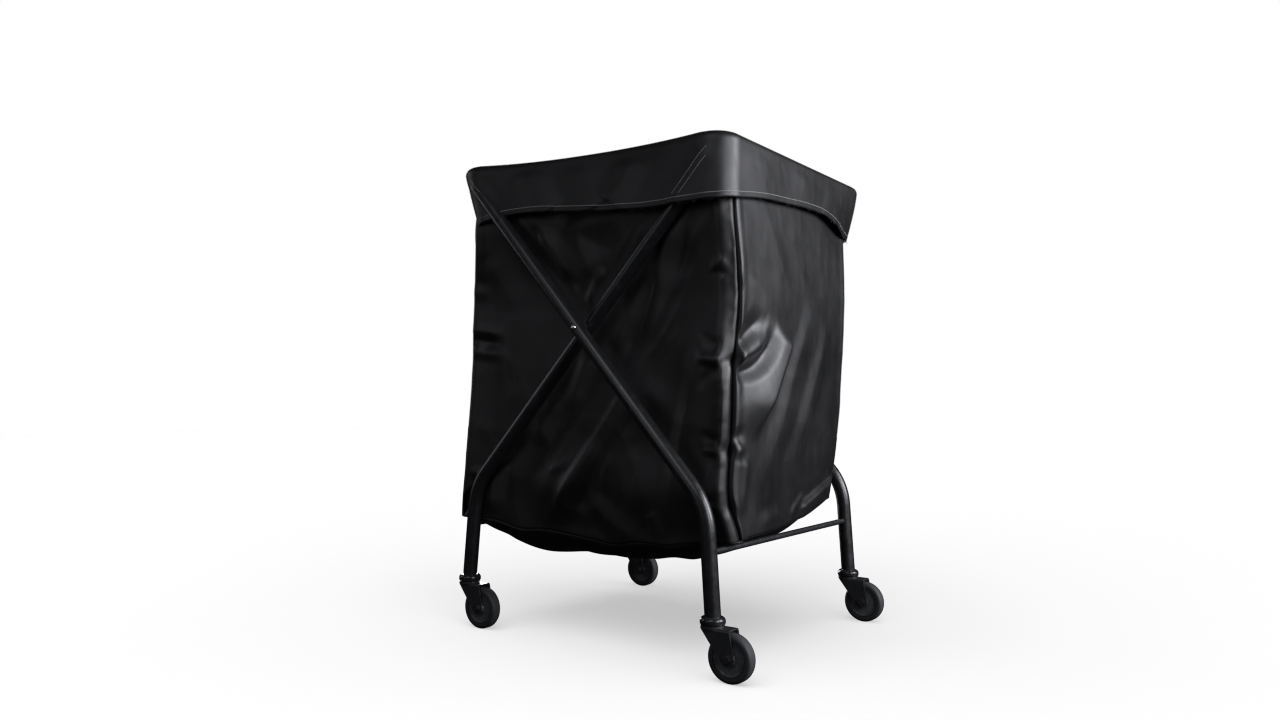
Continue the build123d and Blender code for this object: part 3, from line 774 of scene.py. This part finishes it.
def bottom_surface():
    """The bottom sheet: sewn to the four walls' lower edges, and sagging between the cross rods."""
    front, back = walls[FRONT][0][0], walls[BACK][0][0][::-1]
    right, left = walls[RIGHT][0][0], walls[LEFT][0][0][::-1]
    columns, rows = len(front), len(right)
    s, t = np.linspace(0, 1, columns)[None, :, None], np.linspace(0, 1, rows)[:, None, None]
    ruled = front[None] * (1 - t) + back[None] * t + left[:, None] * (1 - s) + right[:, None] * s
    corners = (front[0] * (1 - s) + front[-1] * s) * (1 - t) + (back[0] * (1 - s) + back[-1] * s) * t
    patch = ruled - corners
    # It sags deepest towards -X, and is held up along its side seams.
    s, t = s[..., 0], t[..., 0]
    across = (1 - np.abs(2 * s - 1) ** 6) * (1.45 - 1.05 * s)
    along = 1 - np.abs(2 * t - 1) ** 4.5
    rest = smooth(np.minimum(s, 1 - s) * 2 * BAG_X / SAG_START)
    patch[..., 2] -= BOTTOM_SAG * across * along * rest
    x, y = patch[..., 0], patch[..., 1]
    edge = smooth(np.minimum(np.minimum(s, 1 - s), np.minimum(t, 1 - t)) / 0.06)
    patch[..., 2] += (ripple(x, y, 80 * MM, 21) * 1.2 + ripple(x, y, 28 * MM, 22) * 0.35) * MM * edge
    a, b = x * MM_PER_METRE, y * MM_PER_METRE
    for row in (
        ([(-230, -200), (-140, -120), (-60, -60)], 3, 22),
        ([(230, -200), (150, -130), (80, -50)], 3, 22),
        ([(-220, 200), (-140, 130), (-40, 80)], 4, 15),
        ([(200, 190), (120, 120), (40, 70)], 4, 13),
        ([(-40, -215), (-30, -150), (-10, -90)], 2, 20),
        ([(90, -215), (80, -150), (60, -80)], 2, 20),
    ):
        patch[..., 2] -= fold(a, b, *row, ends=(0.1, 0.5)) * MM * edge
    over_rod = np.abs(np.abs(x) - ROD_X) < ROD_REACH
    lowest = ROD_TOP_Z + ROD_CLEARANCE + CLOTH
    patch[..., 2] = np.where(over_rod, np.maximum(patch[..., 2], lowest), patch[..., 2])
    return patch, np.stack([x, y], axis=-1)


bottom_object = cloth_sheet("bag_bottom_cloth", *bottom_surface())

# -------------------- the rim and the cuff


def rounded_loop(corners, radius, step):
    """Points round a closed outline with rounded corners, evenly spaced, with their outward normals."""
    corners = np.array(corners, float)
    line = []
    for k in range(len(corners)):
        here, before, after = corners[k], corners[k - 1], corners[(k + 1) % len(corners)]
        into, out = here - before, after - here
        into, out = into / np.linalg.norm(into), out / np.linalg.norm(out)
        turn = math.acos(np.clip(into @ out, -1, 1))
        back = radius * math.tan(turn / 2)
        start = here - into * back
        normal = np.array([-into[1], into[0]])
        centre = start + normal * radius
        angle = math.atan2(*(start - centre)[::-1])
        for share in np.linspace(0, 1, 24):
            at = angle + turn * share
            line.append(centre + radius * np.array([math.cos(at), math.sin(at)]))
    line = np.array(line + [line[0]])
    passed = lengths(line)
    count = int(passed[-1] / step)
    at = np.linspace(0, passed[-1], count, endpoint=False)
    loop = np.stack([np.interp(at, passed, line[:, k]) for k in range(2)], axis=1)
    tangent = np.roll(loop, -1, axis=0) - np.roll(loop, 1, axis=0)
    tangent /= np.linalg.norm(tangent, axis=1, keepdims=True)
    return loop, np.stack([tangent[:, 1], -tangent[:, 0]], axis=1), at


CUFF_CORNER_RADIUS = 46 * MM
FREE_EDGE_HALF = 0.235
CUFF_CORNERS = [(-CUFF_X, -CUFF_FAR_Y), (CUFF_X, -CUFF_NEAR_Y), (CUFF_X, CUFF_FAR_Y), (-CUFF_X, CUFF_NEAR_Y)]
loop, loop_normal, loop_at = rounded_loop(CUFF_CORNERS, CUFF_CORNER_RADIUS, GRID)
loop_x, loop_y = loop[:, 0], loop[:, 1]
on_front = (np.abs(loop_normal[:, 1]) > 0.9) & (loop_y < 0)
on_back = (np.abs(loop_normal[:, 1]) > 0.9) & (loop_y > 0)
end_share = smooth((np.abs(loop_normal[:, 1]) - 0.55) / 0.4)
between = np.clip(1 - (np.abs(loop_x) / FREE_EDGE_HALF) ** 2.2, 0, 1) * end_share

# The height of the cuff's lower edge, by side.
CUFF_HEM_FRONT = curve_mm([
    (-300, 755), (-275, 756), (-230, 763), (-140, 769), (-60, 765), (30, 758), (142, 753), (220, 755),
    (290, 757),
])
CUFF_HEM_RIGHT = curve_mm([
    (-275, 757), (-230, 761), (-175, 769), (-60, 779), (40, 785), (97, 785), (150, 776), (196, 764),
    (250, 757),
])
CUFF_HEM_BACK = curve_mm([
    (-290, 756), (-200, 753), (-100, 760), (0, 767), (110, 770), (200, 762), (290, 756),
])
CUFF_HEM_LEFT = curve_mm([
    (-290, 755), (-200, 764), (-90, 777), (20, 782), (120, 774), (220, 760), (270, 757),
])


def hem_height():
    """The cuff's lower edge all the way round."""
    front_back = np.where(loop_y < 0, CUFF_HEM_FRONT(loop_x), CUFF_HEM_BACK(loop_x))
    sides = np.where(loop_x > 0, CUFF_HEM_RIGHT(loop_y), CUFF_HEM_LEFT(loop_y))
    return front_back * end_share + sides * (1 - end_share)


ROWS_IN, ROWS_OVER, ROWS_DOWN = 7, 12, 28
INNER_DROP = 34 * MM
RAIL_CLEARANCE = 1.3 * MM
FREE_EDGE_WIDTH = 17 * MM
FREE_EDGE_SAG = 7 * MM
FREE_EDGE_PULL = 14 * MM
MOST_DRAPE = 6 * MM
CUFF_ENDS = (0.35, 0.05)
RAIL_CORNER_PULL = 25 * MM
RAIL_CORNER_REACH = 95 * MM


def rim_surface():
    """The band from inside the neck, up over rails and free edges, and down outside to the hem."""
    width = (CUFF_X - HALF_CLOTH - NECK_X) * (1 - between) + FREE_EDGE_WIDTH * between
    crown = RAIL_Z + TUBE_RADIUS + RAIL_CLEARANCE - FREE_EDGE_SAG * between
    hem = hem_height()
    pull = FREE_EDGE_PULL * between * np.where(loop_y < 0, 1, 0.8)
    rise = np.minimum(width / 2, TUBE_RADIUS + RAIL_CLEARANCE)
    spring = crown - rise
    rows = []
    for k in range(ROWS_IN):
        drop = INNER_DROP * (1 - k / ROWS_IN)
        rows.append((-width - pull, spring - drop))
    for k in range(ROWS_OVER + 1):
        angle = math.pi * k / ROWS_OVER
        rows.append((-width / 2 - pull - width / 2 * math.cos(angle), spring + rise * math.sin(angle)))
    for k in range(1, ROWS_DOWN + 1):
        share = k / ROWS_DOWN
        swing = pull * (1 - 0.35 * share)
        rows.append((-swing, spring + (hem - spring) * share))
    out = np.array([np.broadcast_to(r[0], loop_x.shape) for r in rows]) - HALF_CLOTH
    z = np.array([np.broadcast_to(r[1], loop_x.shape) for r in rows])
    down = np.zeros(len(rows))
    down[ROWS_IN + ROWS_OVER + 1:] = np.arange(1, ROWS_DOWN + 1) / ROWS_DOWN
    weight = smooth(down / 0.3)[:, None]
    at = np.broadcast_to(loop_at, z.shape)
    drape = ripple(at, z * 0.45, 70 * MM, 31) * 1.6 + ripple(at, z * 0.8, 30 * MM, 32) * 0.35
    across, along, up = (np.broadcast_to(v * MM_PER_METRE, z.shape) for v in (loop_x, loop_y, z))
    for row in (
        ([(-265, 860), (-225, 808), (-184, 752)], 3, 17),
        ([(265, 860), (228, 808), (186, 752)], 3, 17),
        ([(-150, 862), (-110, 820), (-70, 762)], 5, 26),
        ([(-30, 862), (10, 815), (30, 762)], 4, 34),
        ([(110, 862), (90, 812), (60, 768)], 4, 26),
    ):
        drape = drape + fold(across, up, *row, ends=CUFF_ENDS) * ((loop_y < 0) * end_share)
        drape = drape + fold(-across, up, *row, ends=CUFF_ENDS) * ((loop_y > 0) * end_share)
    for row in (
        ([(-180, 868), (-150, 810), (-120, 750)], 3, 44),
        ([(20, 868), (0, 810), (-30, 750)], 3, 52),
        ([(190, 868), (170, 800), (130, 750)], 3, 40),
    ):
        drape = drape + fold(along, up, *row, ends=CUFF_ENDS) * ((loop_x > 0) * (1 - end_share))
        drape = drape + fold(-along, up, *row, ends=CUFF_ENDS) * ((loop_x < 0) * (1 - end_share))
    out = out + np.minimum(drape * MM * weight, MOST_DRAPE)
    off_diagonal = np.abs(loop_x - loop_y * CUFF_X / CUFF_FAR_Y)
    rail_corner = np.exp(-((off_diagonal / RAIL_CORNER_REACH) ** 2)) * (loop_x * loop_y > 0)
    out = out - RAIL_CORNER_PULL * rail_corner * down[:, None] ** 1.2
    x = loop_x + loop_normal[:, 0] * out
    y = loop_y + loop_normal[:, 1] * out
    uv = np.stack([at, z], axis=-1)
    return np.stack([x, y, z], axis=-1), uv


rim, rim_uv = rim_surface()
rim_normal = -ring_normals(rim)
TUCK = CLOTH + 0.3 * MM
RIM_OUTER_ROW = ROWS_IN + ROWS_OVER
CROWN_ROW = RIM_OUTER_ROW - ROWS_OVER // 2
OVERLAP_ROWS = 3
outer_part = slice(CROWN_ROW - OVERLAP_ROWS, None)
inner_part = slice(0, CROWN_ROW + OVERLAP_ROWS + 1)
cuff_object = cloth_sheet("bag_cuff_cloth", rim[outer_part], rim_uv[outer_part], ring=True)
tucked_under = rim[inner_part] - rim_normal[inner_part] * TUCK
rim_object = cloth_sheet("bag_rim_cloth", tucked_under, rim_uv[inner_part], ring=True)

# -------------------- stitching, seams and frayed edges

rim_closed = np.concatenate([rim, rim[:, :1]], axis=1)
rim_normal_closed = np.concatenate([rim_normal, rim_normal[:, :1]], axis=1)


def on_cuff(column, height):
    """Places on the cuff's outer surface, and its normals there, by loop position and height."""
    outside, outside_normal = rim_closed[RIM_OUTER_ROW:], rim_normal_closed[RIM_OUTER_ROW:]
    last_row = len(outside) - 1
    top = sampled(outside, np.zeros(len(column)), column)
    low = sampled(outside, np.full(len(column), float(last_row)), column)
    share = (top[:, 2] - height) / (top[:, 2] - low[:, 2])
    row = np.clip(share, 0, 1) * last_row
    at = sampled(outside, row, column)
    normal = sampled(outside_normal, row, column)
    normal /= np.linalg.norm(normal, axis=1, keepdims=True)
    return at + normal * THREAD_LIFT, normal


THREAD_LIFT = HALF_CLOTH + 0.1 * MM
CHANNEL_THREAD = 0.34 * MM
HEM_STITCH_UP = 10 * MM
CHANNEL_HALF = 7 * MM
CHANNEL_LOW_Z = CUFF_Z + 12 * MM
CHANNEL_END_X = CUFF_X - 36 * MM
HAIRS = 520

columns = np.linspace(0, len(loop), 1200)
hem = hem_height()
hem_closed = np.append(hem, hem[0])
hem_line, hem_out = on_cuff(columns, np.interp(columns, np.arange(len(loop) + 1), hem_closed) + HEM_STITCH_UP)
details = [stitch_row("cuff_hem_stitches", hem_line, hem_out)]

for end, on_end in (("front", on_front), ("back", on_back)):
    end_columns = np.nonzero(on_end)[0]
    end_columns = end_columns[np.argsort(loop_x[end_columns])]
    for bar, bar_sign in (("right", 1), ("left", -1)):
        for row, shift in (("upper", CHANNEL_HALF), ("lower", -CHANNEL_HALF)):
            heights = np.linspace(WALL_TOP_Z, CHANNEL_LOW_Z, 60)
            across = bar_sign * (heights - PIVOT_Z) / BAR_SLOPE + shift
            column = np.interp(across, loop_x[end_columns], end_columns.astype(float))
            keep = np.abs(across) < CHANNEL_END_X
            line, outward = on_cuff(column[keep], heights[keep])
            name = f"channel_stitches_{end}_{bar}_{row}"
            details.append(stitch_row(name, line, outward, radius=CHANNEL_THREAD))

dice = np.random.default_rng(5)
edge, edge_normal = rim[-1], rim_normal[-1]
pick = np.sort(dice.integers(0, len(edge), HAIRS))
roots = edge[pick] + dice.uniform(-2, 2, (HAIRS, 3)) * np.array([1, 1, 0]) * MM
fall = np.stack([dice.normal(0, 0.5, HAIRS), dice.normal(0, 0.5, HAIRS), -np.ones(HAIRS)], axis=1)
hairs = fall * dice.uniform(1.5, 5.0, (HAIRS, 1)) * MM
hairs = hairs + edge_normal[pick] * dice.uniform(-1, 1.5, (HAIRS, 1)) * MM
details.append(thread_tufts("cuff_frayed_edge", roots, hairs, 6))

# -------------------- how the bag goes with the frame

# The share of its width that each piece would keep when the cart is folded: on, outside or inside the rails.
# They are listed with the pieces but not applied here.
FOLDED_WIDTH = 0.54
FOLDED_OUTSIDE = 0.562
FOLDED_INSIDE = 0.516
kept_widths = [(made, FOLDED_WIDTH) for made in (*wall_objects, bottom_object)]
kept_widths.append((rim_object, FOLDED_INSIDE))
kept_widths += [(made, FOLDED_OUTSIDE) for made in (cuff_object, *details)]
for piece, kept in kept_widths:
    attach(piece, "bag")
    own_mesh(piece)
for name, made in zip(WALL_NAMES, wall_objects):
    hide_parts(f"bag_{name}_panel")
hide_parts("bag_bottom_panel")
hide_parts("bag_cuff")
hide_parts("bag_rim_fold")

# -------------------- floor, light and camera

FLOOR_HALF = 9.0
floor_corners = [(x * FLOOR_HALF, y * FLOOR_HALF, 0) for x, y in ((-1, -1), (1, -1), (1, 1), (-1, 1))]
floor_finish = Finish("floor_white", Roughness=1.0, Specular_IOR_Level=0.0)
mottle = floor_finish.noise(floor_finish.object, 3.0, 3.0)
floor_tone = floor_finish.blend(mottle, (0.86, 0.86, 0.86), (0.9, 0.9, 0.9))
floor = mesh_object("floor", floor_corners, [(0, 1, 2, 3)], floor_finish.finish(Base_Color=floor_tone))
floor.is_shadow_catcher = True
floor.visible_diffuse = False
floor.visible_glossy = False

CAMERA_PLACE = Vector((1.0546, -1.5911, 0.4350))
CAMERA_YAW, CAMERA_PITCH, CAMERA_ROLL = (math.radians(angle) for angle in (35.07, 2.25, 0.64))
CAMERA_LENS = 27.256
SENSOR_WIDTH = 36.0
tilt = math.cos(CAMERA_PITCH)
ahead = Vector((-math.sin(CAMERA_YAW) * tilt, math.cos(CAMERA_YAW) * tilt, math.sin(CAMERA_PITCH)))
level = Vector((math.cos(CAMERA_YAW), math.sin(CAMERA_YAW), 0))
upward = level.cross(ahead)
camera_right = level * math.cos(CAMERA_ROLL) + upward * math.sin(CAMERA_ROLL)
camera_up = upward * math.cos(CAMERA_ROLL) - level * math.sin(CAMERA_ROLL)
camera_data = bpy.data.cameras.new("camera")
camera_data.sensor_width = SENSOR_WIDTH
camera_data.lens = CAMERA_LENS
camera = scene_object("camera", camera_data)
facing = Matrix((camera_right, camera_up, -ahead)).transposed().to_4x4()
camera.matrix_world = Matrix.Translation(CAMERA_PLACE) @ facing
bpy.context.scene.camera = camera

LIGHTS_AIM = Vector((0, 0, 0.5))
STUDIO_TINT = (0.93, 0.94, 1.0)


def receivers(name, link_state):
    """What a light may reach: the floor alone (INCLUDE) or everything but the floor (EXCLUDE)."""
    chosen = bpy.data.collections.new(name)
    chosen.objects.link(floor)
    chosen.collection_objects[0].light_linking.link_state = link_state
    return chosen


ALL_BUT_FLOOR = receivers("all_but_floor", "EXCLUDE")
FLOOR_ALONE = receivers("floor_alone", "INCLUDE")


def softbox(name, place, width, height, power, reaches, shadows=True):
    """A rectangular studio light that faces the cart and lights only what it reaches."""
    data = bpy.data.lights.new(name, "AREA")
    data.shape = "RECTANGLE"
    data.size, data.size_y = width, height
    data.energy = power
    data.color = STUDIO_TINT
    data.use_shadow = shadows
    light = scene_object(name, data)
    light.location = place
    light.rotation_mode = "QUATERNION"
    light.rotation_quaternion = (LIGHTS_AIM - Vector(place)).to_track_quat("-Z", "Y")
    light.light_linking.receiver_collection = reaches


# The cart's lights spare the floor, so no streaks fall across it. Its soft shade is from two of its own.
for name, place, width, height, power in (
    ("key_right", (2.55, 0.9, 1.45), 1.2, 1.5, 95),
    ("rim_left", (-2.3, 1.6, 0.9), 0.5, 2.0, 60),
    ("left_graze", (-2.9, -0.95, 1.25), 1.1, 1.8, 7),
    ("near_right", (2.6, -0.7, 1.25), 0.8, 1.4, 38),
    ("front", (-0.8, -2.8, 1.0), 1.3, 1.2, 3.5),
    ("front_high", (0.6, -2.6, 2.4), 1.8, 1.4, 15),
    ("top", (0.0, 0.0, 3.2), 5.0, 5.0, 2),
):
    softbox(name, place, width, height, power, ALL_BUT_FLOOR)
for name, power, shadows in (("floor_glow", 30, True), ("floor_fill", 46, False)):
    softbox(name, (0.3, -0.8, 2.6), 4.0, 4.0, power, FLOOR_ALONE, shadows)

world = bpy.data.worlds.new("studio")
bpy.context.scene.world = world
world.use_nodes = True
sky = world.node_tree
sky.nodes.clear()
kinds = ("OutputWorld", "Background", "Background", "MixShader", "LightPath")
output, seen, lit, choose, rays = (sky.nodes.new(f"ShaderNode{kind}") for kind in kinds)
seen.inputs["Color"].default_value = (1, 1, 1, 1)
lit.inputs["Color"].default_value = (0.9, 0.95, 1.0, 1)
lit.inputs["Strength"].default_value = 0.006
sky.links.new(rays.outputs["Is Camera Ray"], choose.inputs[0])
sky.links.new(lit.outputs[0], choose.inputs[1])
sky.links.new(seen.outputs[0], choose.inputs[2])
sky.links.new(choose.outputs[0], output.inputs["Surface"])
bpy.context.scene.view_settings.view_transform = "Standard"
